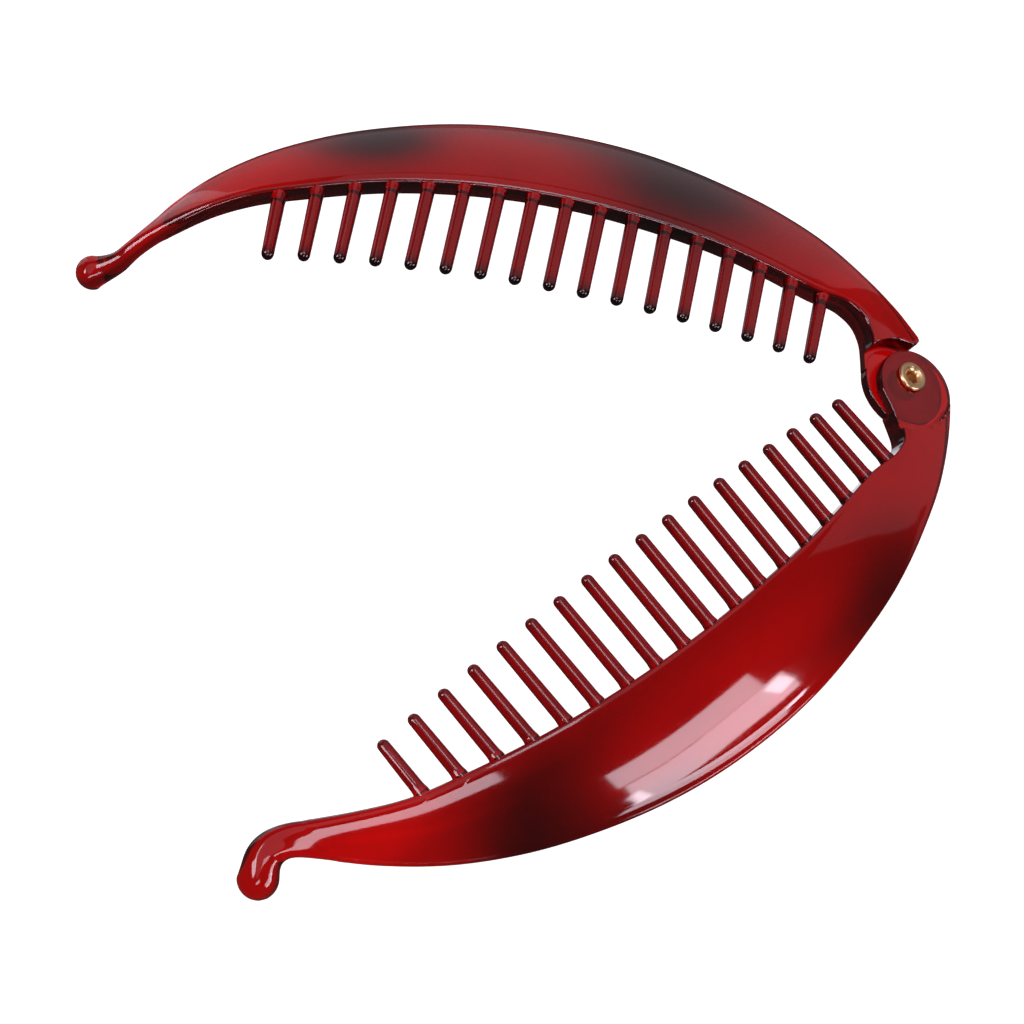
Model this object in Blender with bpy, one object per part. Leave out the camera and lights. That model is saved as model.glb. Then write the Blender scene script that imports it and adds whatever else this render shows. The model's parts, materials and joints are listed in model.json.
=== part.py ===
# Banana hair clip: two moulded combs that turn on a brass rivet, lying open on a table.
#
# Each comb is laid out in its own arm frame, in millimetres. The rivet's axis is Z and
# passes through the origin, X runs from the rivet to the free end, and Y points away
# from the other comb. A place on an arm is given by "along", "out" and "rise": the
# distance along the arch, the distance out from the clip's middle and the height over
# the arch's curve. The upper comb is the same layout seen in a mirror (side = -1).

from collections import namedtuple
from math import cos, hypot, pi, radians, sin

import bmesh
import bpy
from mathutils import Matrix, Vector

MM = 0.001

# The clip as a whole
ARCH_RADIUS = 163.0  # the banana curve, seen from the side
REST_OPENING = 54.0  # degrees between the two combs as they lie

# Hinge: the lower comb's disc lies on the upper comb's lug. Their outlines, and those of
# the room cut for them, are round but not all round the rivet: (along, out) of each centre
DISC_CENTRE = (0.3, 1.9)
DISC_RADIUS = 7.2
DISC_TOP = 0.9
DISC_UNDERSIDE = -1.0
LUG_CENTRE = (0.0, -0.5)
LUG_RADIUS = 7.6
LUG_TOP = -1.3
LUG_UNDERSIDE = -3.2
LUG_ROOM_RADIUS = 8.5
STEP_CENTRE = (1.85, -2.95)  # where the lower comb's plate rises above the disc
STEP_RADIUS = 11.7
SHOULDER_CENTRE = (0.2, -4.2)  # where the upper comb's plate ends beside the disc
SHOULDER_RADIUS = 10.7
HOLE_RADIUS = 1.8
HINGE_SIDES = 40
BEYOND = 9.0  # how far a cut runs past the combs

# Rivet: a tube with a rolled collar on top and a flat head below
RIVET_RADIUS = 1.5
RIVET_BORE = 1.05
RIVET_COLLAR = 2.7
RIVET_COLLAR_HEIGHT = 0.75
RIVET_HEAD = 2.9
RIVET_HEAD_HEIGHT = 0.9
RIVET_SEAT_GAP = 0.25
RIVET_SIDES = 28

# Teeth: both rows are centred on one place, so the upper teeth shut between the lower
LOWER_TEETH = 18
UPPER_TEETH = 17
TEETH_MIDDLE = 65.5  # along the arch from the rivet
TOOTH_PITCH = 5.72  # between the middle teeth
HINGE_GROWTH = 0.0002  # the pitch grows towards both ends
FREE_GROWTH = 0.0006
TOOTH_SLANT = 0.04  # tips lie nearer the free end, by this share of the length
TOOTH_SIDES = 10
TOOTH_TIP_RADIUS = 1.08
TOOTH_ROOT_RADIUS = 1.2
TOOTH_TALLNESS = 1.05  # a little taller than it is wide
TOOTH_ROOT_DROP = 1.8  # root's centre under the plate's inner top edge
TOOTH_SINK = 1.4  # how deep a root reaches into the plate
COLLAR_SWELL = 1.2
COLLAR_LENGTH = 0.7
TIP_CROSS_MIDDLE = 6.7  # how far the tips reach past the clip's middle
TIP_CROSS_END = 4.8
TIP_RISE_MIDDLE = 1.5
TIP_RISE_END = -0.3
TIP_LINE_MIDDLE = 72.0
TIP_LINE_HALF = 56.0

# Free ends
LOWER_BALL_RADIUS = 3.65
UPPER_BALL_RADIUS = 2.95

# Sections of an arm: its inner and outer edge in plan, the height of the top face at
# both, the height of the inner wall, the thickness of the outer edge, and the rounding
Row = namedtuple("Row", "in_along in_out out_along out_out in_top out_top wall edge round")

HINGE_ROWS = {
    1: (
        Row(6.9, -1.6, -6.2, 4.6, 2.2, 2.1, 5.4, 5.2, 0.7),
        Row(7.7, 1.4, -3.3, 7.7, 2.2, 1.8, 5.4, 4.6, 0.7),
        Row(8.9, 4.4, -0.8, 10.2, 2.2, 1.3, 5.4, 4.1, 0.7),
        Row(10.4, 7.1, 2.8, 13.1, 2.2, 0.9, 5.3, 3.7, 0.7),
        Row(13.2, 8.4, 8.2, 16.9, 2.3, 0.2, 5.1, 3.2, 0.7),
    ),
    -1: (
        Row(7.9, -0.8, -1.4, 8.2, 2.2, 1.4, 5.4, 4.6, 0.7),
        Row(8.4, 2.0, 0.4, 9.9, 2.2, 1.1, 5.4, 4.3, 0.7),
        Row(9.1, 4.8, 3.2, 12.4, 2.2, 0.7, 5.5, 3.9, 0.7),
        Row(10.8, 7.3, 6.1, 14.6, 2.2, 0.3, 5.5, 3.6, 0.7),
        Row(14.0, 8.7, 9.8, 17.0, 2.3, -0.1, 5.3, 3.2, 0.7),
    ),
}

PLATE_ROWS = (
    Row(20.0, 8.5, 17.0, 21.9, 2.4, -1.6, 4.8, 2.7, 0.8),
    Row(28.0, 9.6, 27.0, 26.2, 2.5, -3.1, 4.5, 2.6, 0.8),
    Row(38.0, 10.9, 38.0, 29.4, 2.6, -4.6, 4.2, 2.6, 0.8),
    Row(50.0, 11.8, 50.0, 31.8, 2.6, -5.7, 4.1, 2.6, 0.8),
    Row(65.0, 12.1, 65.0, 32.7, 3.0, -6.2, 4.1, 2.6, 0.8),
    Row(80.0, 11.4, 80.5, 31.5, 3.4, -5.5, 4.2, 2.6, 0.8),
    Row(95.0, 9.6, 96.0, 27.9, 3.9, -4.0, 4.2, 2.6, 0.8),
    Row(108.0, 7.1, 109.5, 22.8, 4.3, -2.1, 4.2, 2.7, 0.8),
)

END_ROWS = {
    1: (
        Row(118.0, 4.6, 120.0, 16.9, 4.4, -0.3, 4.1, 2.9, 0.9),
        Row(126.0, 1.1, 128.5, 10.3, 4.4, 1.2, 3.9, 3.2, 1.1),
        Row(132.3, -2.2, 134.0, 5.0, 4.5, 2.7, 3.8, 3.4, 1.4),
        Row(137.2, -4.6, 138.2, 1.5, 4.8, 4.2, 3.9, 3.8, 1.7),
        Row(142.2, -5.0, 140.6, 1.3, 5.2, 5.0, 4.4, 4.3, 2.0),
    ),
    -1: (
        Row(118.0, 5.4, 120.0, 16.8, 3.9, -0.3, 4.1, 2.9, 0.9),
        Row(124.5, 3.4, 127.0, 11.3, 3.4, 0.2, 3.9, 3.1, 1.1),
        Row(129.8, 1.5, 131.8, 7.3, 2.6, 0.2, 3.9, 3.4, 1.4),
        Row(134.5, 0.0, 136.2, 3.4, 1.5, 0.0, 3.8, 3.6, 1.6),
        Row(138.2, -1.8, 140.0, 0.8, 0.2, -0.6, 3.7, 3.6, 1.7),
        Row(141.3, -3.2, 143.2, -0.6, -1.2, -1.8, 3.8, 3.8, 1.8),
    ),
}

# Balls at the free ends: along, out and rise of the centre
LOWER_BALL = (144.5, 0.3, 3.0)
UPPER_BALL = (147.1, -2.9, -4.0)
BALL_HEADING = {1: (0.45, 0.89), -1: (0.96, -0.28)}

PER_GAP = 3  # sections made between two rows of the tables
PLASTIC = (0.33, 0.006, 0.008, 1.0)
BRASS = (0.62, 0.40, 0.18, 1.0)


def clear_scene():
    for obj in list(bpy.data.objects):
        bpy.data.objects.remove(obj, do_unlink=True)


def material(name, colour, roughness, metallic):
    made = bpy.data.materials.new(name)
    made.use_nodes = True
    shader = made.node_tree.nodes["Principled BSDF"]
    shader.inputs["Base Color"].default_value = colour
    shader.inputs["Roughness"].default_value = roughness
    shader.inputs["Metallic"].default_value = metallic
    return made


def on_arch(along, out, rise, side):
    """The arm-frame point, in metres, of a place given along the arch."""
    angle = max(along, 0.0) / ARCH_RADIUS
    reach = ARCH_RADIUS + rise
    x = reach * sin(angle) if along > 0 else along
    z = reach * cos(angle) - ARCH_RADIUS
    return Vector((x, out * side, z)) * MM


def arm_rows(side):
    return HINGE_ROWS[side] + PLATE_ROWS + END_ROWS[side]


def middle(row):
    return (row.in_along + row.out_along) / 2, (row.in_out + row.out_out) / 2


def spread(rows, per_gap):
    """The rows, and per_gap - 1 more in each gap, on a smooth curve through them."""
    places = [0.0]
    for before, after in zip(rows, rows[1:]):
        (x0, y0), (x1, y1) = middle(before), middle(after)
        places.append(places[-1] + hypot(x1 - x0, y1 - y0))

    def slope(i, column):
        if i == 0 or i == len(rows) - 1:
            j = min(i, len(rows) - 2)
            return (rows[j + 1][column] - rows[j][column]) / (places[j + 1] - places[j])
        before, after = places[i] - places[i - 1], places[i + 1] - places[i]
        rate_in = (rows[i][column] - rows[i - 1][column]) / before
        rate_out = (rows[i + 1][column] - rows[i][column]) / after
        return (rate_in * after + rate_out * before) / (before + after)

    def between(i, t, column):
        gap = places[i + 1] - places[i]
        a, b = rows[i][column], rows[i + 1][column]
        p, q = slope(i, column) * gap, slope(i + 1, column) * gap
        return (
            a * (2 * t**3 - 3 * t**2 + 1)
            + b * (3 * t**2 - 2 * t**3)
            + p * (t**3 - 2 * t**2 + t)
            + q * (t**3 - t**2)
        )

    made = []
    for i in range(len(rows) - 1):
        for step in range(per_gap):
            t = step / per_gap
            made.append(Row(*(between(i, t, column) for column in range(len(Row._fields)))))
    made.append(rows[-1])
    return made


def ball_rows(centre, radius, heading):
    """Round sections across a ball, from inside the neck to its far end."""
    along, out, rise = centre
    ahead_x, ahead_y = heading
    found = []
    for degrees in (-52, -25, 0, 25, 48, 68, 82):
        offset = radius * sin(radians(degrees))
        half = radius * cos(radians(degrees))
        mid_x, mid_y = along + ahead_x * offset, out + ahead_y * offset
        found.append(
            Row(
                mid_x + ahead_y * half,
                mid_y - ahead_x * half,
                mid_x - ahead_y * half,
                mid_y + ahead_x * half,
                rise + half,
                rise + half,
                2 * half,
                2 * half,
                0.9 * half,
            )
        )
    return found


def outline(row):
    """A section as (across, rise) points, from the inner wall round over the top face."""
    width = hypot(row.out_along - row.in_along, row.out_out - row.in_out)
    limit = 0.47 * min(width, row.edge, row.wall)
    r = min(row.round, limit)

    def top(across):
        u = across / width
        return row.in_top + (row.out_top - row.in_top) * (0.35 * u + 0.65 * u * u)

    def under(across):
        u = across / width
        return top(across) - row.edge - (row.wall - row.edge) * (1 - u) ** 3

    def corner(across, rise, start):
        turns = [radians(start - 45 * k) for k in range(3)]
        return [(across + r * cos(turn), rise + r * sin(turn)) for turn in turns]

    points = corner(r, top(0) - r, 180)
    points += [(r + (width - 2 * r) * u, top(r + (width - 2 * r) * u)) for u in (0.25, 0.5, 0.75)]
    points += corner(width - r, top(width) - r, 90)
    points += corner(width - r, under(width) + r, 0)
    points += [(r + (width - 2 * r) * u, under(r + (width - 2 * r) * u)) for u in (0.67, 0.33)]
    points += corner(r, under(0) + r, -90)
    return width, points


def section_points(row, side):
    width, points = outline(row)
    step_x = (row.out_along - row.in_along) / width
    step_y = (row.out_out - row.in_out) / width
    return [
        on_arch(row.in_along + step_x * across, row.in_out + step_y * across, rise, side)
        for across, rise in points
    ]


def skin(bm, rings):
    """Side faces through rings of points, with a flat cap at both ends."""
    made = [[bm.verts.new(point) for point in ring] for ring in rings]
    for before, after in zip(made, made[1:]):
        for i in range(len(before)):
            j = (i + 1) % len(before)
            bm.faces.new((before[i], before[j], after[j], after[i]))
    bm.faces.new(made[0])
    bm.faces.new(made[-1])


def finish_object(name, bm, look=None):
    bmesh.ops.recalc_face_normals(bm, faces=bm.faces)
    mesh = bpy.data.meshes.new(name)
    bm.to_mesh(mesh)
    bm.free()
    mesh.shade_smooth()
    mesh.set_sharp_from_angle(angle=radians(35))
    obj = bpy.data.objects.new(name, mesh)
    bpy.context.scene.collection.objects.link(obj)
    if look:
        mesh.materials.append(look)
    return obj


def helper(name, bm, parent):
    obj = finish_object(name, bm)
    obj.parent = parent
    obj.hide_render = True
    obj.display_type = "WIRE"
    return obj


def drum(name, centre, radius, low, high, parent, sides=HINGE_SIDES):
    """A plain upright cylinder, from low to high. The centre is in the object's own axes."""
    bm = bmesh.new()
    x, y = centre
    turns = [2 * pi * k / sides for k in range(sides)]
    rings = []
    for height in (low, high):
        ring = [Vector((x + radius * cos(a), y + radius * sin(a), height)) for a in turns]
        rings.append([point * MM for point in ring])
    skin(bm, rings)
    return helper(name, bm, parent)


def combine(obj, operation, other):
    modifier = obj.modifiers.new(other.name, "BOOLEAN")
    modifier.operation = operation
    modifier.object = other


def inner_edge(rows, along):
    """Out and top of the plate's inner edge at a place along the arch."""
    for before, after in zip(rows, rows[1:]):
        if before.in_along <= along < after.in_along:
            t = (along - before.in_along) / (after.in_along - before.in_along)
            out = before.in_out + t * (after.in_out - before.in_out)
            return out, before.in_top + t * (after.in_top - before.in_top)
    raise ValueError(along)


def tip_line(along):
    """How far a tip crosses the clip's middle, and its rise over the arch."""
    u = (along - TIP_LINE_MIDDLE) / TIP_LINE_HALF
    cross = TIP_CROSS_MIDDLE - (TIP_CROSS_MIDDLE - TIP_CROSS_END) * u * u
    rise = TIP_RISE_MIDDLE - (TIP_RISE_MIDDLE - TIP_RISE_END) * u * u
    return cross, rise


def tooth_places(teeth):
    """Where the tips of one comb's teeth stand along the arch."""
    places = []
    for k in range(teeth):
        step = k - (teeth - 1) / 2
        growth = FREE_GROWTH if step > 0 else HINGE_GROWTH
        places.append(TEETH_MIDDLE + TOOTH_PITCH * step * (1 + growth * step**2))
    return places


def tooth_rings(tip_along, rows, side):
    """Oval rings from inside the plate out to the rounded tip."""
    edge_out, edge_top = inner_edge(rows, tip_along)
    cross, tip_rise = tip_line(tip_along)
    root_rise = edge_top - TOOTH_ROOT_DROP
    length = edge_out + cross
    spine = [(-TOOTH_SINK, COLLAR_SWELL), (0.05, COLLAR_SWELL), (COLLAR_LENGTH, 1.0)]
    profile = [(place, swell * TOOTH_ROOT_RADIUS) for place, swell in spine]
    shoulder = length - TOOTH_TIP_RADIUS
    for degrees in (0, 35, 65, 84):
        turn = radians(degrees)
        profile.append((shoulder + TOOTH_TIP_RADIUS * sin(turn), TOOTH_TIP_RADIUS * cos(turn)))
    rings = []
    for place, radius in profile:
        out = edge_out - place
        along = tip_along - TOOTH_SLANT * (length - place)
        rise = root_rise + (tip_rise - root_rise) * place / length
        ring = []
        for k in range(TOOTH_SIDES):
            turn = 2 * pi * (k + 0.5) / TOOTH_SIDES
            beside, above = radius * cos(turn), TOOTH_TALLNESS * radius * sin(turn)
            ring.append(on_arch(along + beside, out, rise + above, side))
        rings.append(ring)
    return rings


def comb(name, side, teeth, ball, ball_radius, look):
    """The plate of one comb with its free end and its teeth, not yet cut for the hinge."""
    rows = spread(arm_rows(side), PER_GAP)
    ends = ball_rows(ball, ball_radius, BALL_HEADING[side])
    bm = bmesh.new()
    skin(bm, [section_points(row, side) for row in rows + ends])
    plate = finish_object(name, bm, look)
    bm = bmesh.new()
    for tip_along in tooth_places(teeth):
        skin(bm, tooth_rings(tip_along, rows, side))
    combine(plate, "UNION", helper(name + "_teeth", bm, plate))
    return plate


def lower_comb(look):
    plate = comb("lower_comb", 1, LOWER_TEETH, LOWER_BALL, LOWER_BALL_RADIUS, look)
    recess = drum("disc_recess", STEP_CENTRE, STEP_RADIUS, DISC_TOP, BEYOND, plate)
    room = drum("lug_room", (0, 0), LUG_ROOM_RADIUS, -BEYOND, DISC_UNDERSIDE, plate)
    disc = drum("disc", DISC_CENTRE, DISC_RADIUS, DISC_UNDERSIDE, DISC_TOP, plate)
    hole = drum("disc_hole", (0, 0), HOLE_RADIUS, -BEYOND, BEYOND, plate, RIVET_SIDES)
    combine(plate, "DIFFERENCE", recess)
    combine(plate, "DIFFERENCE", room)
    combine(plate, "UNION", disc)
    combine(plate, "DIFFERENCE", hole)
    return plate


def upper_comb(look):
    plate = comb("upper_comb", -1, UPPER_TEETH, UPPER_BALL, UPPER_BALL_RADIUS, look)
    shoulder = (SHOULDER_CENTRE[0], -SHOULDER_CENTRE[1])
    room = drum("disc_room", shoulder, SHOULDER_RADIUS, LUG_TOP, BEYOND, plate)
    lug_centre = (LUG_CENTRE[0], -LUG_CENTRE[1])
    lug = drum("lug", lug_centre, LUG_RADIUS, LUG_UNDERSIDE, LUG_TOP, plate)
    hole = drum("lug_hole", (0, 0), HOLE_RADIUS, -BEYOND, BEYOND, plate, RIVET_SIDES)
    combine(plate, "DIFFERENCE", room)
    combine(plate, "UNION", lug)
    combine(plate, "DIFFERENCE", hole)
    return plate


def hinge_rivet(look):
    """Turned round its axis: flat head, shank, rolled collar and a blind bore."""
    seat = LUG_UNDERSIDE - RIVET_SEAT_GAP
    collar = DISC_TOP + RIVET_SEAT_GAP
    top = collar + RIVET_COLLAR_HEIGHT
    head = seat - RIVET_HEAD_HEIGHT
    floor = LUG_TOP
    profile = (
        (RIVET_HEAD - 0.9, head),
        (RIVET_HEAD - 0.25, head + 0.3),
        (RIVET_HEAD, seat - 0.2),
        (RIVET_HEAD - 0.1, seat),
        (RIVET_RADIUS, seat),
        (RIVET_RADIUS, collar),
        (RIVET_COLLAR - 0.15, collar),
        (RIVET_COLLAR, collar + 0.25),
        (RIVET_COLLAR - 0.3, top - 0.12),
        (RIVET_COLLAR - 0.75, top),
        (RIVET_BORE + 0.35, top - 0.12),
        (RIVET_BORE, top - 0.55),
        (RIVET_BORE, floor + 0.4),
        (RIVET_BORE - 0.45, floor),
    )
    turns = [2 * pi * k / RIVET_SIDES for k in range(RIVET_SIDES)]
    bm = bmesh.new()
    skin(bm, [[Vector((r * cos(a), r * sin(a), z)) * MM for a in turns] for r, z in profile])
    return finish_object("hinge_rivet", bm, look)


def evaluated_points(obj):
    bpy.context.view_layer.update()
    shown = obj.evaluated_get(bpy.context.evaluated_depsgraph_get())
    mesh = shown.to_mesh()
    points = [shown.matrix_world @ vertex.co for vertex in mesh.vertices]
    shown.to_mesh_clear()
    return points


def lie_down(frame, pieces):
    """Turns the frame until the hinge and both free ends touch z = 0, and centres it there."""
    points = [point for obj in pieces for point in evaluated_points(obj)]
    near = [point for point in points if point.x < 30 * MM]
    left = [point for point in points if point.x > 80 * MM and point.y > 0]
    right = [point for point in points if point.x > 80 * MM and point.y < 0]
    up = Vector((0, 0, 1))
    for _ in range(12):
        a, b, c = (min(group, key=lambda point: point.dot(up)) for group in (near, left, right))
        up = (b - a).cross(c - a).normalized()
        up = up if up.z > 0 else -up
    ahead = (Vector((1, 0, 0)) - up * up.x).normalized()
    turn = Matrix((ahead, up.cross(ahead), up)).to_4x4()
    placed = [turn @ point for point in points]
    low = Vector([min(point[axis] for point in placed) for axis in range(3)])
    high = Vector([max(point[axis] for point in placed) for axis in range(3)])
    shift = Vector((-(low.x + high.x) / 2, -(low.y + high.y) / 2, -low.z))
    frame.matrix_world = Matrix.Translation(shift) @ turn


def build():
    clear_scene()
    plastic = material("wine_plastic", PLASTIC, 0.12, 0.0)
    brass = material("brass", BRASS, 0.3, 1.0)
    frame = bpy.data.objects.new("lying_clip", None)
    axis = bpy.data.objects.new("rivet_axis", None)
    for empty in (frame, axis):
        bpy.context.scene.collection.objects.link(empty)
    axis.parent = frame
    lower = lower_comb(plastic)
    upper = upper_comb(plastic)
    rivet = hinge_rivet(brass)
    lower.parent = frame
    upper.parent = axis
    rivet.parent = frame
    lower.rotation_euler.z = radians(REST_OPENING / 2)
    upper.rotation_euler.z = -radians(REST_OPENING / 2)
    lie_down(frame, (lower, upper, rivet))


build()
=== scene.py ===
import json
from math import atan2, cos, exp, hypot, pi, radians, sin, tan

import bmesh
import bpy
from mathutils import Matrix, Vector


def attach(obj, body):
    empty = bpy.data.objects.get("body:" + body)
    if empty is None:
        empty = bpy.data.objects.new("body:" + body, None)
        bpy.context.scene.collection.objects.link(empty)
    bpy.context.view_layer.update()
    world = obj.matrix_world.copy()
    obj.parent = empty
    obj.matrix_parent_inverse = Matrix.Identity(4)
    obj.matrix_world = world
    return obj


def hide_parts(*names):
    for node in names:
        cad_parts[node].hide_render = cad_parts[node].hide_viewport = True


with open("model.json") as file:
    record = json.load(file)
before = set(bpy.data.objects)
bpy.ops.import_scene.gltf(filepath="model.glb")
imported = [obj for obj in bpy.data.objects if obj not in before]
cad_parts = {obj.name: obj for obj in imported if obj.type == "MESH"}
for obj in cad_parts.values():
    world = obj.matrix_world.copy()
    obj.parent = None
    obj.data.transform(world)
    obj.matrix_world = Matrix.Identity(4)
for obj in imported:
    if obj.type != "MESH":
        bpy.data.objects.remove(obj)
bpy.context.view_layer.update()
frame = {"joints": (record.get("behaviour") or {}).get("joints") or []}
mm = 0.001

# The clip as a whole, in millimetres and degrees
clip = {
    "archRadius": 163.0,
    "opening": 54.0,  # between the combs as they lie
    "discTop": 0.9,
    "discUnderside": -1.0,
    "lugTop": -1.3,
    "lugUnderside": -3.2,
    "jointHeight": 0.9,  # the joint's point over the hinge's zero
    "cutReach": 9.0,
}

# How finely the surfaces are made
fineness = {
    "perGap": 9,  # sections between two rows of a table
    "corner": 7,
    "top": 11,
    "under": 6,
    "ball": 15,
    "toothSides": 24,
    "tip": 8,
    "hinge": 128,
    "rivet": 72,
}

sharpFrom = {"plastic": 32.0, "brass": 40.0}  # degrees between faces


def hingeFrame():
    # The hinge's own axes: Z along the rivet, X from the rivet to the free ends
    joint = frame["joints"][0]
    up = -Vector(joint["axis"]).normalized()
    ahead = Vector((up.z, 0.0, -up.x)).normalized()
    spot = Vector(joint["pos_m"]) - up * clip["jointHeight"] * mm
    return Matrix.Translation(spot) @ Matrix((ahead, up.cross(ahead), up)).transposed().to_4x4()


def armFrame(side):
    return hingeFrame() @ Matrix.Rotation(side * radians(clip["opening"] / 2), 4, "Z")


def onArch(along, out, rise, side):
    # A place on an arm, given along the arch, out from the middle and up from the arch
    angle = max(along, 0.0) / clip["archRadius"]
    reach = clip["archRadius"] + rise
    x = reach * sin(angle) if along > 0 else along
    return Vector((x, out * side, reach * cos(angle) - clip["archRadius"])) * mm


def archPlace(point, side):
    # The other way round: along, out and rise of a point in the arm's own axes
    x, y, z = point / mm
    angle = atan2(x, z + clip["archRadius"])
    rise = hypot(x, z + clip["archRadius"]) - clip["archRadius"]
    return angle * clip["archRadius"], y * side, rise


# One section of an arm: the inner and outer edge in plan, the height of the top face at
# both, the height of the inner wall, the thickness of the outer edge, and the rounding
rowColumns = "inAlong inOut outAlong outOut inTop outTop wall edge round".split()

plateRows = [
    (20.0, 8.5, 17.0, 21.9, 2.4, -1.6, 4.8, 2.7, 0.8),
    (28.0, 9.6, 27.0, 26.2, 2.5, -3.1, 4.5, 2.6, 0.8),
    (38.0, 10.9, 38.0, 29.4, 2.6, -4.6, 4.2, 2.6, 0.8),
    (50.0, 11.8, 50.0, 31.8, 2.6, -5.7, 4.1, 2.6, 0.8),
    (65.0, 12.1, 65.0, 32.7, 3.0, -6.2, 4.1, 2.6, 0.8),
    (80.0, 11.4, 80.5, 31.5, 3.4, -5.5, 4.2, 2.6, 0.8),
    (95.0, 9.6, 96.0, 27.9, 3.9, -4.0, 4.2, 2.6, 0.8),
    (108.0, 7.1, 109.5, 22.8, 4.3, -2.1, 4.2, 2.7, 0.8),
]

lowerArm = {
    "name": "lowerArm",
    "node": "lower_comb",
    "body": "lower_arm",
    "side": 1,
    "teeth": 18,
    "corner": 0.3,  # rounding of the first end in plan
    "ball": (144.5, 0.3, 3.0),  # along, out, rise
    "ballRadius": 3.6,
    "ballLong": 3.6,
    "ballHeading": (0.45, 0.89),
    "ballStart": -14.0,  # degrees before the ball's middle
    "neckPasses": 18,
    "rows": [
        (6.9, -1.6, -6.2, 4.6, 2.2, 2.1, 5.4, 5.2, 0.7),
        (7.7, 1.4, -3.3, 7.7, 2.2, 1.8, 5.4, 4.6, 0.7),
        (8.9, 4.4, -0.8, 10.2, 2.2, 1.3, 5.4, 4.1, 0.7),
        (10.4, 7.1, 2.8, 13.1, 2.2, 0.9, 5.3, 3.7, 0.7),
        (13.2, 8.4, 8.2, 16.9, 2.3, 0.2, 5.1, 3.2, 0.7),
    ]
    + plateRows
    + [
        (118.0, 4.6, 120.0, 16.9, 4.4, -0.3, 4.1, 2.9, 0.9),
        (126.0, 1.1, 128.5, 10.3, 4.4, 1.2, 3.9, 3.2, 1.1),
        (132.3, -2.2, 134.0, 5.0, 4.5, 2.7, 3.8, 3.4, 1.4),
        (136.6, -4.6, 137.3, 1.8, 4.8, 4.1, 4.0, 3.8, 1.7),
        (139.6, -5.4, 138.5, 1.0, 5.1, 4.8, 4.4, 4.3, 2.0),
        (142.3, -5.2, 139.5, 0.8, 5.5, 5.3, 5.1, 5.0, 2.4),
        (144.9, -4.1, 140.3, 1.0, 6.1, 6.0, 6.2, 6.1, 2.9),
    ],
    # darker places: along, out, half length, half width, strength
    "darkPatches": [
        (26.0, 22.0, 13.0, 7.0, 0.42),
        (36.0, 28.5, 15.0, 5.0, 0.35),
        (107.5, 24.5, 12.0, 9.0, 0.5),
        (99.0, 15.5, 16.0, 10.0, 0.27),
        (86.0, 30.0, 14.0, 4.0, 0.35),
        (66.0, 13.5, 34.0, 4.0, 0.2),
    ],
    # painted glow of light shining through the plastic, with red glints by the rivet; the same
    # columns
    "paintedGlowPatches": [
        (126.0, 7.0, 12.0, 5.0, 1.0),
        (44.0, 30.0, 14.0, 4.0, 0.5),
        (143.0, 0.0, 7.0, 6.0, 0.8),
        (0.5, 1.5, 10.0, 10.0, 0.75),
    ],
    # painted shade: how dark the tooth tips and the walls and rims are painted
    "paintedTipShade": 0.45,
    "paintedWallShade": 1.0,
}

upperArm = {
    "name": "upperArm",
    "node": "upper_comb",
    "body": "upper_arm",
    "side": -1,
    "teeth": 17,
    "corner": 1.3,
    "ball": (147.05, -2.95, -4.0),
    "ballRadius": 2.95,
    "ballLong": 3.0,
    "ballHeading": (0.97, -0.2),
    "ballStart": -34.0,
    "neckPasses": 14,
    "rows": [
        (7.9, -0.8, -1.4, 8.2, 2.2, 1.4, 5.4, 4.6, 0.7),
        (8.4, 2.0, 0.4, 9.9, 2.2, 1.1, 5.4, 4.3, 0.7),
        (9.1, 4.8, 3.2, 12.4, 2.2, 0.7, 5.5, 3.9, 0.7),
        (10.8, 7.3, 6.1, 14.6, 2.2, 0.3, 5.5, 3.6, 0.7),
        (14.0, 8.7, 9.8, 17.0, 2.3, -0.1, 5.3, 3.2, 0.7),
    ]
    + plateRows
    + [
        (118.0, 5.4, 120.0, 16.8, 3.9, -0.3, 4.1, 2.9, 0.9),
        (124.5, 3.3, 127.0, 12.0, 3.4, 0.1, 3.9, 3.1, 1.1),
        (129.8, 1.2, 131.8, 7.6, 2.6, 0.2, 3.9, 3.4, 1.4),
        (134.5, -0.6, 136.2, 3.2, 1.5, 0.0, 3.8, 3.6, 1.6),
        (138.2, -2.4, 140.0, 0.6, 0.2, -0.6, 3.8, 3.7, 1.8),
        (141.3, -3.7, 143.0, -0.6, -1.2, -1.8, 4.2, 4.2, 2.0),
    ],
    "darkPatches": [
        (44.5, 23.0, 15.5, 11.0, 0.72),
        (64.0, 31.5, 20.0, 4.5, 0.3),
        (99.0, 22.0, 11.0, 8.0, 0.7),
    ],
    # painted glow of light shining through the plastic; the same columns
    "paintedGlowPatches": [
        (14.0, 12.0, 8.0, 5.0, 0.6),
        (0.0, 0.0, 10.0, 10.0, 0.55),
        (121.0, 12.0, 15.0, 11.0, 0.95),
        (146.0, -3.0, 8.0, 6.0, 1.0),
    ],
    # painted shade: how dark the tooth tips and the walls and rims are painted
    "paintedTipShade": 1.0,
    "paintedWallShade": 0.95,
}


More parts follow.
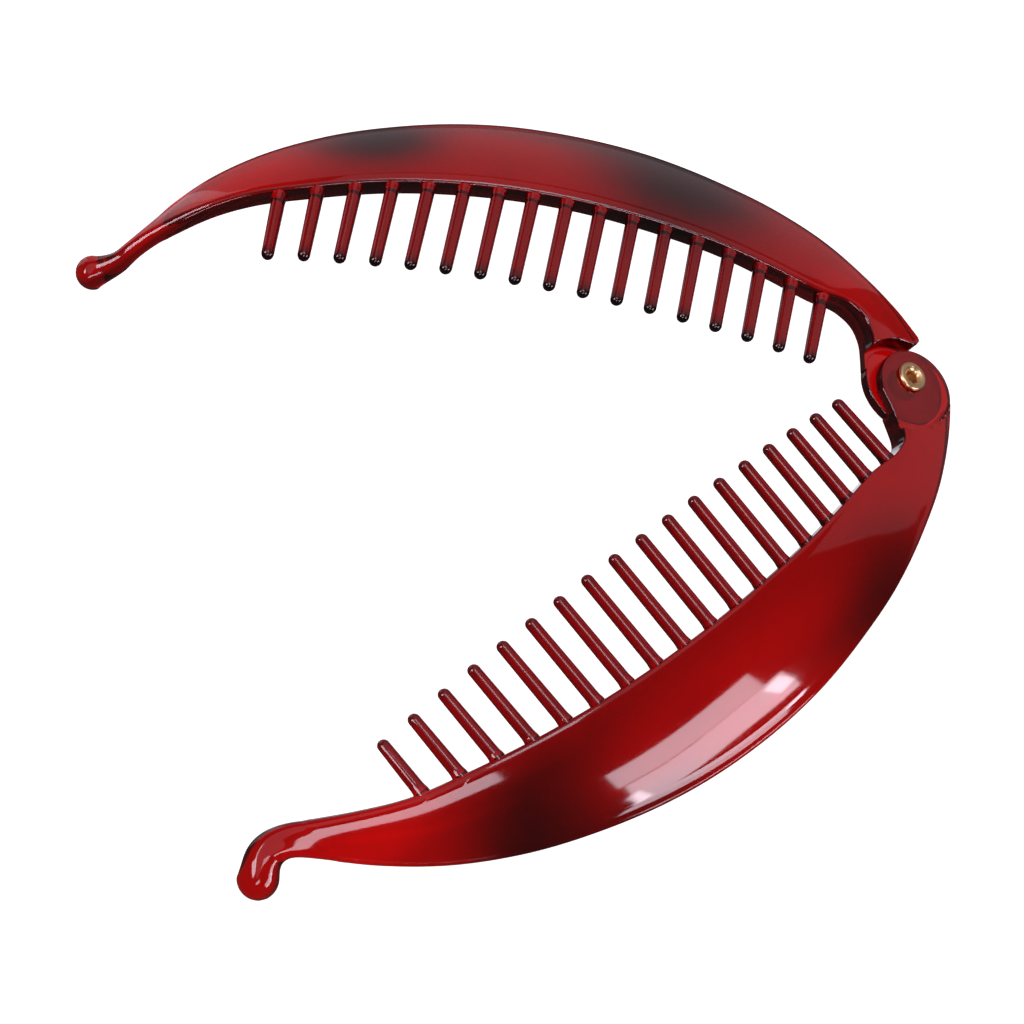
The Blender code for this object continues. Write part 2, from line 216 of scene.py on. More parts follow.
def rowsBetween(rows, perGap):
    # The rows and more of them in every gap, on a smooth curve along the arm's middle
    def middle(row):
        return (row[0] + row[2]) / 2, (row[1] + row[3]) / 2

    places = [0.0]
    for before, after in zip(rows, rows[1:]):
        (x0, y0), (x1, y1) = middle(before), middle(after)
        places.append(places[-1] + hypot(x1 - x0, y1 - y0))

    def slope(i, column):
        if i == 0 or i == len(rows) - 1:
            j = min(i, len(rows) - 2)
            return (rows[j + 1][column] - rows[j][column]) / (places[j + 1] - places[j])
        before, after = places[i] - places[i - 1], places[i + 1] - places[i]
        rateIn = (rows[i][column] - rows[i - 1][column]) / before
        rateOut = (rows[i + 1][column] - rows[i][column]) / after
        return (rateIn * after + rateOut * before) / (before + after)

    def between(i, t, column):
        gap = places[i + 1] - places[i]
        a, b = rows[i][column], rows[i + 1][column]
        p, q = slope(i, column) * gap, slope(i + 1, column) * gap
        return (
            a * (2 * t**3 - 3 * t**2 + 1)
            + b * (3 * t**2 - 2 * t**3)
            + p * (t**3 - 2 * t**2 + t)
            + q * (t**3 - t**2)
        )

    made = []
    columns = range(len(rowColumns))
    for i in range(len(rows) - 1):
        for step in range(perGap):
            made.append([between(i, step / perGap, column) for column in columns])
    made.append(rows[-1])
    return made


def roundCorner(rows, radius):
    # Draws the outer corner of an arm's first end in, so that it is round in plan
    gone = 0.0
    rounded = []
    for i, row in enumerate(rows):
        row = list(row)
        if i:
            gone += hypot(rows[i][2] - rows[i - 1][2], rows[i][3] - rows[i - 1][3])
        if gone < radius:
            pull = radius - (radius**2 - (radius - gone) ** 2) ** 0.5
            width = hypot(row[2] - row[0], row[3] - row[1])
            row[2] += (row[0] - row[2]) * pull / width
            row[3] += (row[1] - row[3]) * pull / width
        rounded.append(row)
    return rounded


def ballRows(arm):
    # Round sections across the ball, from inside the neck to its far end
    along, out, rise = arm["ball"]
    aheadX, aheadY = arm["ballHeading"]
    found = []
    for k in range(fineness["ball"]):
        degrees = arm["ballStart"] + (88 - arm["ballStart"]) * k / (fineness["ball"] - 1)
        offset = arm["ballLong"] * sin(radians(degrees))
        half = arm["ballRadius"] * cos(radians(degrees))
        x, y = along + aheadX * offset, out + aheadY * offset
        inner = (x + aheadY * half, y - aheadX * half)
        outer = (x - aheadY * half, y + aheadX * half)
        top, thick = rise + half, 2 * half
        found.append((*inner, *outer, top, top, thick, thick, 0.97 * half))
    return found


section = {
    "bend": 0.65,  # how much of the top face's fall is curved
    "roundest": 0.485,  # of the section's smallest side
    "wallFall": 3,  # how quickly the wall thins out under the plate
}


def sectionRing(row, side):
    # The points round one section, from the inner wall over the top face and back under
    inAlong, inOut, outAlong, outOut, inTop, outTop, wall, edge, rounding = row
    width = hypot(outAlong - inAlong, outOut - inOut)
    r = min(rounding, section["roundest"] * min(width, edge, wall))

    def top(across):
        u = across / width
        return inTop + (outTop - inTop) * ((1 - section["bend"]) * u + section["bend"] * u * u)

    def under(across):
        thickening = (1 - across / width) ** section["wallFall"]
        return top(across) - edge - (wall - edge) * thickening

    def corner(across, rise, start):
        steps = fineness["corner"]
        turns = [radians(start - 90 * k / steps) for k in range(steps + 1)]
        return [(across + r * cos(turn), rise + r * sin(turn)) for turn in turns]

    def flat(count, height, back):
        shares = [(k + 1) / (count + 1) for k in range(count)]
        places = [r + (width - 2 * r) * (1 - u if back else u) for u in shares]
        return [(place, height(place)) for place in places]

    points = corner(r, top(r) - r, 180) + flat(fineness["top"], top, False)
    points += corner(width - r, top(width - r) - r, 90)
    points += corner(width - r, under(width - r) + r, 0) + flat(fineness["under"], under, True)
    points += corner(r, under(r) + r, -90)
    stepX, stepY = (outAlong - inAlong) / width, (outOut - inOut) / width
    return [onArch(inAlong + stepX * a, inOut + stepY * a, rise, side) for a, rise in points]


def skinRings(bm, rings):
    made = [[bm.verts.new(point) for point in ring] for ring in rings]
    for before, after in zip(made, made[1:]):
        for i in range(len(before)):
            j = (i + 1) % len(before)
            bm.faces.new((before[i], before[j], after[j], after[i]))
    bm.faces.new(made[0])
    bm.faces.new(made[-1])


def meshObject(name, bm):
    bmesh.ops.recalc_face_normals(bm, faces=bm.faces)
    mesh = bpy.data.meshes.new(name)
    bm.to_mesh(mesh)
    bm.free()
    obj = bpy.data.objects.new(name, mesh)
    bpy.context.scene.collection.objects.link(obj)
    return obj


teethLayout = {
    "middle": 65.5,  # along the arch, the same for both combs
    "pitch": 5.72,
    "hingeGrowth": 0.0002,  # the pitch grows towards both ends
    "freeGrowth": 0.0006,
    "slant": 0.04,
    "tipRadius": 1.08,
    "rootRadius": 1.2,
    "tallness": 1.05,
    "rootDrop": 1.8,  # how far the root's middle lies under the blade's top
    # from the root out: distance, and radius as a share of the root's
    "collar": [
        (-1.4, 1.13),
        (0.0, 1.13),
        (0.25, 1.12),
        (0.5, 1.08),
        (0.8, 1.04),
        (1.2, 1.01),
        (1.8, 1.0),
        (2.7, 1.0),
    ],
    "crossMiddle": 6.7,
    "crossEnd": 4.8,
    "riseMiddle": 1.5,
    "riseEnd": -0.3,
    "lineMiddle": 72.0,
    "lineHalf": 56.0,
}


def toothPlaces(count):
    layout = teethLayout
    places = []
    for k in range(count):
        step = k - (count - 1) / 2
        growth = layout["freeGrowth"] if step > 0 else layout["hingeGrowth"]
        places.append(layout["middle"] + layout["pitch"] * step * (1 + growth * step * step))
    return places


def innerEdge(rows, along):
    for before, after in zip(rows, rows[1:]):
        if before[0] <= along < after[0]:
            t = (along - before[0]) / (after[0] - before[0])
            out = before[1] + t * (after[1] - before[1])
            return out, before[4] + t * (after[4] - before[4])
    return None


def tipLine(along):
    layout = teethLayout
    u = (along - layout["lineMiddle"]) / layout["lineHalf"]
    cross = layout["crossMiddle"] - (layout["crossMiddle"] - layout["crossEnd"]) * u * u
    rise = layout["riseMiddle"] - (layout["riseMiddle"] - layout["riseEnd"]) * u * u
    return cross, rise


def toothRings(tipAlong, rows, arm):
    layout = teethLayout
    edgeOut, edgeTop = innerEdge(rows, tipAlong)
    cross, tipRise = tipLine(tipAlong)
    rootRise = edgeTop - layout["rootDrop"]
    length = edgeOut + cross
    profile = [(place, share * layout["rootRadius"]) for place, share in layout["collar"]]
    tipRadius = layout["tipRadius"]
    shoulder = length - tipRadius
    lastPlace, lastRadius = profile[-1]
    for k in range(1, 6):  # the shank tapers gently to the tip
        t = k / 6
        place = lastPlace + (shoulder - lastPlace) * t
        profile.append((place, lastRadius + (tipRadius - lastRadius) * t))
    for k in range(fineness["tip"]):  # nearly a quarter turn, so no ring shrinks to a point
        turn = radians(86 * k / (fineness["tip"] - 1))
        profile.append((shoulder + tipRadius * sin(turn), tipRadius * cos(turn)))
    rings = []
    for place, radius in profile:
        along = tipAlong - layout["slant"] * (length - place)
        rise = rootRise + (tipRise - rootRise) * place / length
        ring = []
        for k in range(fineness["toothSides"]):
            turn = 2 * pi * (k + 0.5) / fineness["toothSides"]
            beside, above = radius * cos(turn), layout["tallness"] * radius * sin(turn)
            ring.append(onArch(along + beside, edgeOut - place, rise + above, arm["side"]))
        rings.append(ring)
    return rings


def turned(name, centre, profile, sides):
    # A lathe shape round an upright axis; the profile is (radius, height) from one end
    bm = bmesh.new()
    x, y = centre
    turns = [2 * pi * k / sides for k in range(sides)]
    rings = [
        [Vector((x + r * cos(turn), y + r * sin(turn), z)) * mm for turn in turns]
        for r, z in profile
    ]
    skinRings(bm, rings)
    return meshObject(name, bm)


def roundedDrum(radius, low, high, lowRound, highRound, steps=6):
    # Profile of a drum whose two rims are rounded
    margin = 0.6
    turns = [radians(90 * k / steps) for k in range(steps + 1)]
    profile = [(radius - lowRound - margin, low)]
    for turn in turns:
        place = radius - lowRound + lowRound * sin(turn)
        profile.append((place, low + lowRound - lowRound * cos(turn)))
    for turn in turns:
        place = radius - highRound + highRound * cos(turn)
        profile.append((place, high - highRound + highRound * sin(turn)))
    profile.append((radius - highRound - margin, high))
    return profile


hinge = {
    "discCentre": (0.3, 1.9),
    "discRadius": 7.2,
    "lugCentre": (0.0, -0.5),
    "lugRadius": 7.6,
    "roomRadius": 8.5,  # room for the lug under the lower comb
    "stepCentre": (1.85, -2.95),
    "stepRadius": 11.7,
    "shoulderCentre": (0.2, -4.2),
    "shoulderRadius": 10.7,
    "holeRadius": 1.8,
    "rim": 0.35,  # rounding of the disc and the lug
    "fillet": 0.3,
    "shoulderFillet": 0.8,
    "cutTop": 0.1,  # rounding of the cuts, out of sight over the plate
    "discUnder": 0.15,  # rounding of the disc's and the lug's lower edges
    "lugUnder": 0.3,
    "ease": 0.22,  # rounding of the rims that the cuts leave
    "easeBefore": 15.0,  # along the arm
    "easeAbove": 0.5,
    "easeBeyond": 3.0,  # from the rivet's middle
    "easeAngle": 35.0,
}


def straightDrum(radius, low, high):
    return [(radius, low), (radius, high)]


def hingeCuts(arm):
    # What is cut from the plate at the hinge, and what is put on, in that order
    side = arm["side"]

    def placed(centre):
        return centre[0], centre[1] * side

    reach = clip["cutReach"]
    hole = ("DIFFERENCE", (0.0, 0.0), straightDrum(hinge["holeRadius"], -reach, reach))
    if side > 0:
        top, underside = clip["discTop"], clip["discUnderside"]
        step, over = hinge["stepRadius"], hinge["cutTop"]
        recess = roundedDrum(step, top, reach, hinge["fillet"], over)
        room = straightDrum(hinge["roomRadius"], -reach, underside)
        wide, under = hinge["discRadius"], hinge["discUnder"]
        disc = roundedDrum(wide, underside, top, under, hinge["rim"])
        return [
            ("DIFFERENCE", placed(hinge["stepCentre"]), recess),
            ("DIFFERENCE", (0.0, 0.0), room),
            ("UNION", placed(hinge["discCentre"]), disc),
            hole,
        ]
    top, underside = clip["lugTop"], clip["lugUnderside"]
    step, over = hinge["shoulderRadius"], hinge["cutTop"]
    recess = roundedDrum(step, top, reach, hinge["shoulderFillet"], over)
    lug = roundedDrum(hinge["lugRadius"], underside, top, hinge["lugUnder"], hinge["rim"])
    return [
        ("DIFFERENCE", placed(hinge["shoulderCentre"]), recess),
        ("UNION", placed(hinge["lugCentre"]), lug),
        hole,
    ]


def joinSolids(obj, steps):
    # Runs the cuts one by one and keeps the mesh that comes out
    for operation, other in steps:
        modifier = obj.modifiers.new(other.name, "BOOLEAN")
        modifier.operation = operation
        modifier.solver = "EXACT"
        modifier.object = other
    bpy.context.view_layer.update()
    graph = bpy.context.evaluated_depsgraph_get()
    made = bpy.data.meshes.new_from_object(obj.evaluated_get(graph))
    obj.modifiers.clear()
    obj.data = made
    for _, other in steps:
        bpy.data.objects.remove(other, do_unlink=True)


# Where the patches and the painted shade on the plastic start and end; lengths are in
# millimetres
marks = {
    "patchFade": 0.75,  # how quickly a patch dies away
    "wallSlope": 0.72,  # how far a wall still faces up where its painted shade starts
    "wallFade": 0.42,
    "teethFrom": 14.0,
    "teethTo": 119.0,
    "toothStart": 0.2,
    "toothFade": 1.2,
    "tipStart": 1.9,
    "tipFade": 1.0,
}


def clampShare(value):
    return max(0.0, min(1.0, value))


def patchStrength(patches, along, out):
    # Soft ovals that add up; 1 at the middle of the strongest
    total = 0.0
    for x, y, halfLength, halfWidth, strength in patches:
        far = ((along - x) / halfLength) ** 2 + ((out - y) / halfWidth) ** 2
        total += strength * exp(-marks["patchFade"] * far)
    return min(total, 1.0)


def paintPlaces(obj, arm, rows):
    # Where the plastic has darker patches, where a glow of light through it is painted, and
    # where painted shade falls on its walls, teeth and tooth tips
    mesh = obj.data
    names = ("darkPlace", "paintedGlowPlace", "tipShadePlace", "toothShadePlace", "wallShadePlace")
    values = {name: [0.0] * len(mesh.vertices) for name in names}
    for vertex in mesh.vertices:
        along, out, _ = archPlace(vertex.co, arm["side"])
        i = vertex.index
        angle = along / clip["archRadius"]
        # walls and rims that turn away from the top get painted shade
        facingUp = abs(vertex.normal.x * sin(angle) + vertex.normal.z * cos(angle))
        wall = clampShare((marks["wallSlope"] - facingUp) / marks["wallFade"])
        values["wallShadePlace"][i] = wall * arm["paintedWallShade"]
        values["darkPlace"][i] = patchStrength(arm["darkPatches"], along, out)
        values["paintedGlowPlace"][i] = patchStrength(arm["paintedGlowPatches"], along, out)
        edge = innerEdge(rows, along)
        besideTeeth = marks["teethFrom"] < along < marks["teethTo"]
        if edge and besideTeeth and out < edge[0] - marks["toothStart"]:
            toTip = out + tipLine(along)[0]
            tip = clampShare((marks["tipStart"] - toTip) / marks["tipFade"])
            values["toothShadePlace"][i] = min(1.0, (edge[0] - out) / marks["toothFade"])
            values["tipShadePlace"][i] = tip * arm["paintedTipShade"]
    for name in names:
        layer = mesh.attributes.new(name, "FLOAT", "POINT")
        layer.data.foreach_set("value", values[name])


def easeHingeEdges(obj):
    # Rounds the sharp rims that the cuts leave at the hinge, apart from the rivet's hole
    def wanted(place):
        inReach = place.x < hinge["easeBefore"] and place.z > hinge["easeAbove"]
        return inReach and hypot(place.x, place.y) > hinge["easeBeyond"]

    bm = bmesh.new()
    bm.from_mesh(obj.data)
    chosen = []
    for edge in bm.edges:
        if not edge.is_manifold:
            continue
        if edge.calc_face_angle_signed(0.0) < radians(hinge["easeAngle"]):
            continue
        if all(wanted(vertex.co / mm) for vertex in edge.verts):
            chosen.append(edge)
    bmesh.ops.bevel(
        bm,
        geom=chosen,
        offset=hinge["ease"] * mm,
        segments=3,
        profile=0.5,
        affect="EDGES",
        clamp_overlap=False,
    )
    bm.to_mesh(obj.data)
    bm.free()


neck = {"from": 133.0, "to": 146.5, "softness": 0.5}


def softenNeck(bm, arm):
    # Lets the neck flow into the ball without a crease
    first, last = neck["from"], neck["to"]
    band = [v for v in bm.verts if first < archPlace(v.co, arm["side"])[0] < last]
    for _ in range(arm["neckPasses"]):
        bmesh.ops.smooth_vert(
            bm,
            verts=band,
            factor=neck["softness"],
            use_axis_x=True,
            use_axis_y=True,
            use_axis_z=True,
        )


def makeArm(arm):
    rows = roundCorner(rowsBetween(arm["rows"], fineness["perGap"]), arm["corner"])
    bm = bmesh.new()
    skinRings(bm, [sectionRing(row, arm["side"]) for row in rows + ballRows(arm)])
    softenNeck(bm, arm)
    obj = meshObject(arm["name"], bm)
    bm = bmesh.new()
    for tipAlong in toothPlaces(arm["teeth"]):
        skinRings(bm, toothRings(tipAlong, rows, arm))
    steps = [("UNION", meshObject(arm["name"] + "Teeth", bm))]
    for k, (operation, centre, profile) in enumerate(hingeCuts(arm)):
        other = turned(f"{arm['name']}Cut{k}", centre, profile, fineness["hinge"])
        steps.append((operation, other))
    joinSolids(obj, steps)
    easeHingeEdges(obj)
    paintPlaces(obj, arm, rows)
    obj.visible_shadow = False  # thin see-through plastic on white leaves no grey shadow
    mesh = obj.data
    mesh.shade_smooth()
    mesh.set_sharp_from_angle(angle=radians(sharpFrom["plastic"]))
    mesh.transform(armFrame(arm["side"]))
    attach(obj, arm["body"])
    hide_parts(arm["node"])
    print("made", arm["name"], len(mesh.polygons), "faces")
    return obj


rivet = {
    "radius": 1.5,
    "bore": 1.05,
    "mouth": 1.5,  # the bore opens to this at the collar
    "collar": 2.7,
    "collarHeight": 0.75,
    "head": 2.9,
    "headHeight": 0.9,
    "seatGap": 0.25,
    "collarSkirt": 0.2,  # how high the collar is widest
    "mouthDepth": 1.1,
    "boreTaper": 0.12,
    "rim": 0.7,  # rounding of the head's rim
    "edge": 0.08,  # bevel of the head where it meets the lug
    "boreFloor": 0.45,  # over the top of the lug
    "boreRound": 0.75,
}


def makeRivet():
    seat = clip["lugUnderside"] - rivet["seatGap"]
    collar = clip["discTop"] + rivet["seatGap"]
    head = seat - rivet["headHeight"]
    wide, rim, edge = rivet["head"], rivet["rim"], rivet["edge"]
    profile = [(wide - rim - 0.2, head)]
    for k in range(9):  # the head's rounded rim
        turn = radians(90 * k / 8)
        profile.append((wide - rim + rim * sin(turn), head + rim - rim * cos(turn)))
    profile += [(wide, seat - edge), (wide - edge, seat)]
    profile += [(rivet["radius"], seat), (rivet["radius"], collar)]
    middle = (rivet["collar"] + rivet["mouth"]) / 2
    half = (rivet["collar"] - rivet["mouth"]) / 2
    skirt = rivet["collarSkirt"]
    lift = rivet["collarHeight"] - skirt
    for k in range(17):  # the collar rolls over from outside to the mouth
        turn = radians(-20 + 160 * k / 16)
        profile.append((middle + half * cos(turn), collar + skirt + lift * sin(turn)))
    lastRadius, lastHeight = profile[-1]
    for k in range(1, 7):  # and the mouth narrows into the bore
        turn = radians(90 * k / 6)
        narrow = lastRadius - (lastRadius - rivet["bore"]) * sin(turn)
        drop = rivet["mouthDepth"] * (1 - cos(turn)) + rivet["boreTaper"] * k / 6
        profile.append((narrow, lastHeight - drop))
    floor, depth = clip["lugTop"] + rivet["boreFloor"], rivet["boreFloor"]
    profile.append((rivet["bore"] - 0.04, floor + 0.05))
    for k in range(6):  # the bore's round floor
        turn = radians(90 * k / 5)
        flat = rivet["bore"] - 0.05 - rivet["boreRound"]
        profile.append((flat + rivet["boreRound"] * cos(turn), floor - depth * sin(turn)))
    obj = turned("rivet", (0.0, 0.0), profile, fineness["rivet"])
    obj.data.shade_smooth()
    obj.data.set_sharp_from_angle(angle=radians(sharpFrom["brass"]))
    obj.data.transform(armFrame(0))
    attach(obj, "lower_arm")
    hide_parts("hinge_rivet")
    print("made rivet", len(obj.data.polygons), "faces")
    return obj


def newMaterial(name):
    made = bpy.data.materials.new(name)
    made.use_nodes = True
    tree = made.node_tree
    return made, tree, tree.nodes["Principled BSDF"]


def node(tree, kind, **settings):
    made = tree.nodes.new(kind)
    for key, value in settings.items():
        if key in made.inputs:
            made.inputs[key].default_value = value
        else:
            setattr(made, key, value)
    return made


def noiseFrom(tree, places, scale, detail=3.0, rough=0.5):
    made = node(tree, "ShaderNodeTexNoise", Scale=scale, Detail=detail, Roughness=rough)
    tree.links.new(places, made.inputs["Vector"])
    return made.outputs["Fac"]


def calc(tree, operation, a, b=0.0, clamp=False):
    made = tree.nodes.new("ShaderNodeMath")
    made.operation = operation
    made.use_clamp = clamp
    for socket, value in zip(made.inputs, (a, b)):
        if isinstance(value, (int, float)):
            socket.default_value = value
        else:
            tree.links.new(value, socket)
    return made.outputs[0]


def ramp(tree, value, low, high):
    made = node(tree, "ShaderNodeMapRange")
    made.interpolation_type = "SMOOTHSTEP"
    made.inputs["From Min"].default_value = low
    made.inputs["From Max"].default_value = high
    tree.links.new(value, made.inputs["Value"])
    return made.outputs[0]


def mixColour(tree, share, a, b):
    made = tree.nodes.new("ShaderNodeMix")
    made.data_type = "RGBA"
    tree.links.new(share, made.inputs["Factor"])
    colourIn = [socket for socket in made.inputs if socket.type == "RGBA"]
    for socket, value in zip(colourIn, (a, b)):
        if isinstance(value, tuple):
            socket.default_value = (*value, 1.0)
        else:
            tree.links.new(value, socket)
    return [socket for socket in made.outputs if socket.type == "RGBA"][0]


winePlastic = {
    # what the surface lets through where the plastic is plain and deep, bright where a glow of
    # light through it is painted, near black in dark patches and as painted shade on the tooth
    # tips, and darker as painted shade on the teeth (tooth) and on the walls and rims (rim)
    "plain": (0.52, 0.005, 0.008),
    "deep": (0.41, 0.003, 0.006),
    "bright": (0.65, 0.012, 0.01),
    "black": (0.02, 0.002, 0.004),
    "tooth": (0.26, 0.005, 0.01),
    "rim": (0.035, 0.003, 0.009),
    "clear": 0.8,  # the rest is milky
    "soak": (0.95, 0.0, 0.0),  # what is left of the light on its way through
    "soakDensity": 2000.0,
    "roughness": 0.06,
    "roughnessSpread": 0.04,
    "ior": 1.5,
    "glowFrom": 0.15,
    "glowTo": 1.1,
    "plainFrom": 0.3,  # of the cloud, from deep to plain
    "plainTo": 0.7,
    "cloudScale": 60.0,
    "cloudDrift": 0.35,  # how far the cloud shifts the patches
    "streakScale": 240.0,
    "waveScale": 45.0,
    "waveStrength": 0.25,
    "waveDepth": 0.00018,
}


def winePlasticMaterial():
    made, tree, shader = newMaterial("winePlastic")
    places = tree.nodes.new("ShaderNodeTexCoord").outputs["Object"]

    def kept(name):
        reader = tree.nodes.new("ShaderNodeAttribute")
        reader.attribute_name = name
        return reader.outputs["Fac"]

    look = winePlastic
    cloud = noiseFrom(tree, places, look["cloudScale"], 4.0, 0.55)
    streak = noiseFrom(tree, places, look["streakScale"], 2.0, 0.5)
    drift = calc(tree, "MULTIPLY", calc(tree, "SUBTRACT", cloud, 0.5), look["cloudDrift"])
    dark = ramp(tree, calc(tree, "ADD", kept("darkPlace"), drift), 0.0, 1.0)
    light = calc(tree, "SUBTRACT", 1.0, dark)
    dark = calc(tree, "SUBTRACT", 1.0, calc(tree, "MULTIPLY", light, light))
    # painted glow: the tint is brighter where light would shine through the plastic
    glow = calc(tree, "ADD", kept("paintedGlowPlace"), drift)
    glow = ramp(tree, glow, look["glowFrom"], look["glowTo"])
    plain = ramp(tree, cloud, look["plainFrom"], look["plainTo"])
    body = mixColour(tree, plain, look["deep"], look["plain"])
    body = mixColour(tree, glow, body, look["bright"])
    # painted shade: the teeth, then the walls and rims, are painted darker
    body = mixColour(tree, kept("toothShadePlace"), body, look["tooth"])
    body = mixColour(tree, kept("wallShadePlace"), body, look["rim"])
    body = mixColour(tree, dark, body, look["black"])
    # painted shade: the tooth tips are painted near black
    body = mixColour(tree, kept("tipShadePlace"), body, look["black"])
    tree.links.new(body, shader.inputs["Base Color"])
    rough = calc(tree, "MULTIPLY_ADD", streak, look["roughnessSpread"])
    rough.node.inputs[2].default_value = look["roughness"] - look["roughnessSpread"] / 2
    tree.links.new(rough, shader.inputs["Roughness"])
    shader.inputs["IOR"].default_value = look["ior"]
    shader.inputs["Transmission Weight"].default_value = look["clear"]
    strength, depth = look["waveStrength"], look["waveDepth"]
    bump = node(tree, "ShaderNodeBump", Strength=strength, Distance=depth)
    wave = noiseFrom(tree, places, look["waveScale"], 2.0, 0.4)
    tree.links.new(wave, bump.inputs["Height"])
    tree.links.new(bump.outputs["Normal"], shader.inputs["Normal"])
    soak = node(tree, "ShaderNodeVolumeAbsorption", Density=look["soakDensity"])
    soak.inputs["Color"].default_value = (*look["soak"], 1.0)
    tree.links.new(soak.outputs[0], tree.nodes["Material Output"].inputs["Volume"])
    return made


brass = {
    "dull": (0.66, 0.4, 0.2),
    "bright": (0.86, 0.57, 0.32),
    "metallic": 0.9,
    "roughness": 0.22,
    "roughnessSpread": 0.16,
    "cloudScale": 900.0,
    "grainScale": 5200.0,
    "grainStrength": 0.3,
    "grainDepth": 0.00002,
}


def brassMaterial():
    made, tree, shader = newMaterial("brass")
    places = tree.nodes.new("ShaderNodeTexCoord").outputs["Object"]
    cloud = noiseFrom(tree, places, brass["cloudScale"], 4.0, 0.6)
    grain = noiseFrom(tree, places, brass["grainScale"], 2.0, 0.5)
    colour = mixColour(tree, cloud, brass["dull"], brass["bright"])
    tree.links.new(colour, shader.inputs["Base Color"])
    shader.inputs["Metallic"].default_value = brass["metallic"]
    rough = calc(tree, "MULTIPLY_ADD", cloud, brass["roughnessSpread"])
    rough.node.inputs[2].default_value = brass["roughness"]
    tree.links.new(rough, shader.inputs["Roughness"])
    strength, depth = brass["grainStrength"], brass["grainDepth"]
    bump = node(tree, "ShaderNodeBump", Strength=strength, Distance=depth)
    tree.links.new(grain, bump.inputs["Height"])
    tree.links.new(bump.outputs["Normal"], shader.inputs["Normal"])
    return made


table = {
    "half": 2.5,  # metres
    "colour": (0.86, 0.86, 0.86),
    "otherColour": (0.85, 0.85, 0.85),
    "cloudScale": 6.0,
    "roughness": 0.9,
    "lift": 0.93,  # how bright the white shines by itself
}


def makeTable():
    bm = bmesh.new()
    bmesh.ops.create_grid(bm, x_segments=8, y_segments=8, size=table["half"])
    obj = meshObject("table", bm)
    made, tree, shader = newMaterial("tableWhite")
    places = tree.nodes.new("ShaderNodeTexCoord").outputs["Object"]
    cloud = noiseFrom(tree, places, table["cloudScale"])
    tint = mixColour(tree, cloud, table["otherColour"], table["colour"])
    tree.links.new(tint, shader.inputs["Base Color"])
    shader.inputs["Roughness"].default_value = table["roughness"]
    shader.inputs["Specular IOR Level"].default_value = 0.0
    shader.inputs["Emission Color"].default_value = (1.0, 1.0, 1.0, 1.0)
    shader.inputs["Emission Strength"].default_value = table["lift"]
    obj.data.materials.append(made)
    obj.visible_glossy = False  # the glossy plastic mirrors the studio, not the table
    obj.visible_diffuse = False
    print("made table")


# Studio: soft lights round the clip. Angles are seen from the clip, radiance is how bright
# a light's face looks. "mirrored" ones show in the gloss and through the plastic, and
# "lighting" ones light what is dull
studio = {
    "centre": (0.0, 0.0, 0.01),
    "distance": 0.9,
    "world": 0.08,
    "tint": (1.0, 0.95, 1.06),
    "lights": [
        # name, azimuth, elevation, width, height and tilt in degrees, radiance,
        # mirrored, lighting
        ("overheadSoft", 60.0, 87.0, 52.0, 52.0, 0.0, 1.5, False, True),
        ("overStrip", 100.0, 82.0, 15.0, 34.0, 0.0, 5.0, True, False),
        ("rightBoxHigh", 124.0, 19.0, 25.0, 8.0, 0.0, 7.5, True, False),
        ("rightBoxLow", 126.0, 10.5, 27.0, 8.5, 0.0, 9.0, True, False),
        ("rightCore", 113.0, 8.0, 2.5, 4.0, 20.0, 10.0, True, False),
        ("rightCoreFar", 138.0, 11.0, 3.0, 5.0, 10.0, 10.0, True, False),
        ("leftBox", -3.0, 42.0, 20.0, 28.0, 0.0, 9.0, True, False),
        ("frontStrip", 71.0, 39.3, 34.0, 10.0, 30.0, 6.5, True, False),
        ("ceiling", -60.0, 84.0, 62.0, 62.0, 0.0, 0.5, True, False),
        ("hingeCard", 184.0, 16.0, 36.0, 44.0, 0.0, 0.32, True, False),
        ("backCard", -112.0, -8.0, 70.0, 56.0, 0.0, 0.27, True, False),
        ("backCardLeft", -66.0, -6.0, 30.0, 50.0, 0.0, 0.62, True, False),
        ("rimCard", -115.0, -48.0, 56.0, 24.0, 0.0, 1.2, True, False),
        ("backCardHigh", -125.0, 41.0, 54.0, 34.0, 0.0, 0.36, True, False),
    ],
}


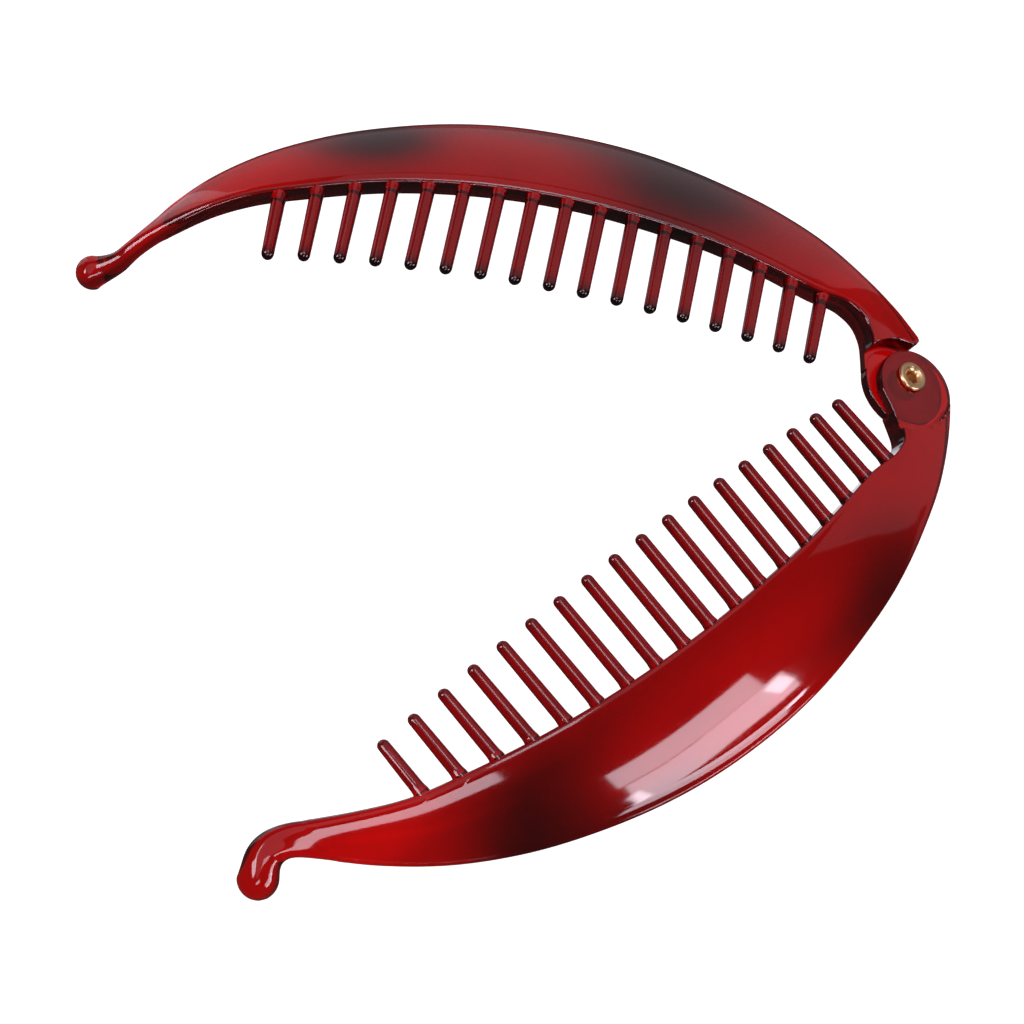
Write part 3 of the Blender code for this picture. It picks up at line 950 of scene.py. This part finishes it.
def makeStudio():
    centre = Vector(studio["centre"])
    reach = 2 * studio["distance"]
    for name, az, el, width, height, tilt, radiance, mirrored, lighting in studio["lights"]:
        az, el = radians(az), radians(el)
        toLight = Vector((cos(el) * cos(az), cos(el) * sin(az), sin(el)))
        lamp = bpy.data.lights.new(name, "AREA")
        lamp.shape = "RECTANGLE"
        lamp.size = reach * tan(radians(width / 2))
        lamp.size_y = reach * tan(radians(height / 2))
        lamp.energy = radiance * pi * lamp.size * lamp.size_y
        if mirrored:
            lamp.color = studio["tint"]
        obj = bpy.data.objects.new(name, lamp)
        turn = toLight.to_track_quat("Z", "Y").to_matrix().to_4x4()
        tilted = Matrix.Rotation(radians(tilt), 4, "Z")
        spot = centre + toLight * studio["distance"]
        obj.matrix_world = Matrix.Translation(spot) @ turn @ tilted
        obj.visible_camera = False
        obj.visible_glossy = mirrored
        obj.visible_diffuse = lighting
        obj.visible_transmission = mirrored
        bpy.context.scene.collection.objects.link(obj)
    world = bpy.data.worlds.new("studioWorld")
    world.use_nodes = True
    background = world.node_tree.nodes["Background"]
    background.inputs["Color"].default_value = (1.0, 1.0, 1.0, 1.0)
    background.inputs["Strength"].default_value = studio["world"]
    bpy.context.scene.world = world
    print("made studio with", len(studio["lights"]), "lights")


view = {
    "spot": (0.1248, 0.2520, 0.6034),
    "target": (0.0101, 0.0093, 0.0100),
    "roll": 9.05,  # degrees
    "lens": 138.16,  # millimetres, as the sensor's width
    "sensor": 36.0,
}


def makeCamera():
    data = bpy.data.cameras.new("photoCamera")
    data.lens = view["lens"]
    data.sensor_width = view["sensor"]
    data.sensor_fit = "HORIZONTAL"
    obj = bpy.data.objects.new("photoCamera", data)
    spot, target = Vector(view["spot"]), Vector(view["target"])
    turn = (target - spot).to_track_quat("-Z", "Y").to_matrix().to_4x4()
    roll = Matrix.Rotation(radians(view["roll"]), 4, "Z")
    obj.matrix_world = Matrix.Translation(spot) @ turn @ roll
    bpy.context.scene.collection.objects.link(obj)
    bpy.context.scene.camera = obj
    print("made camera")


makeCamera()
plastic = winePlasticMaterial()
for arm in (lowerArm, upperArm):
    makeArm(arm).data.materials.append(plastic)
makeRivet().data.materials.append(brassMaterial())
makeTable()
makeStudio()
bpy.context.scene.view_settings.view_transform = "Standard"
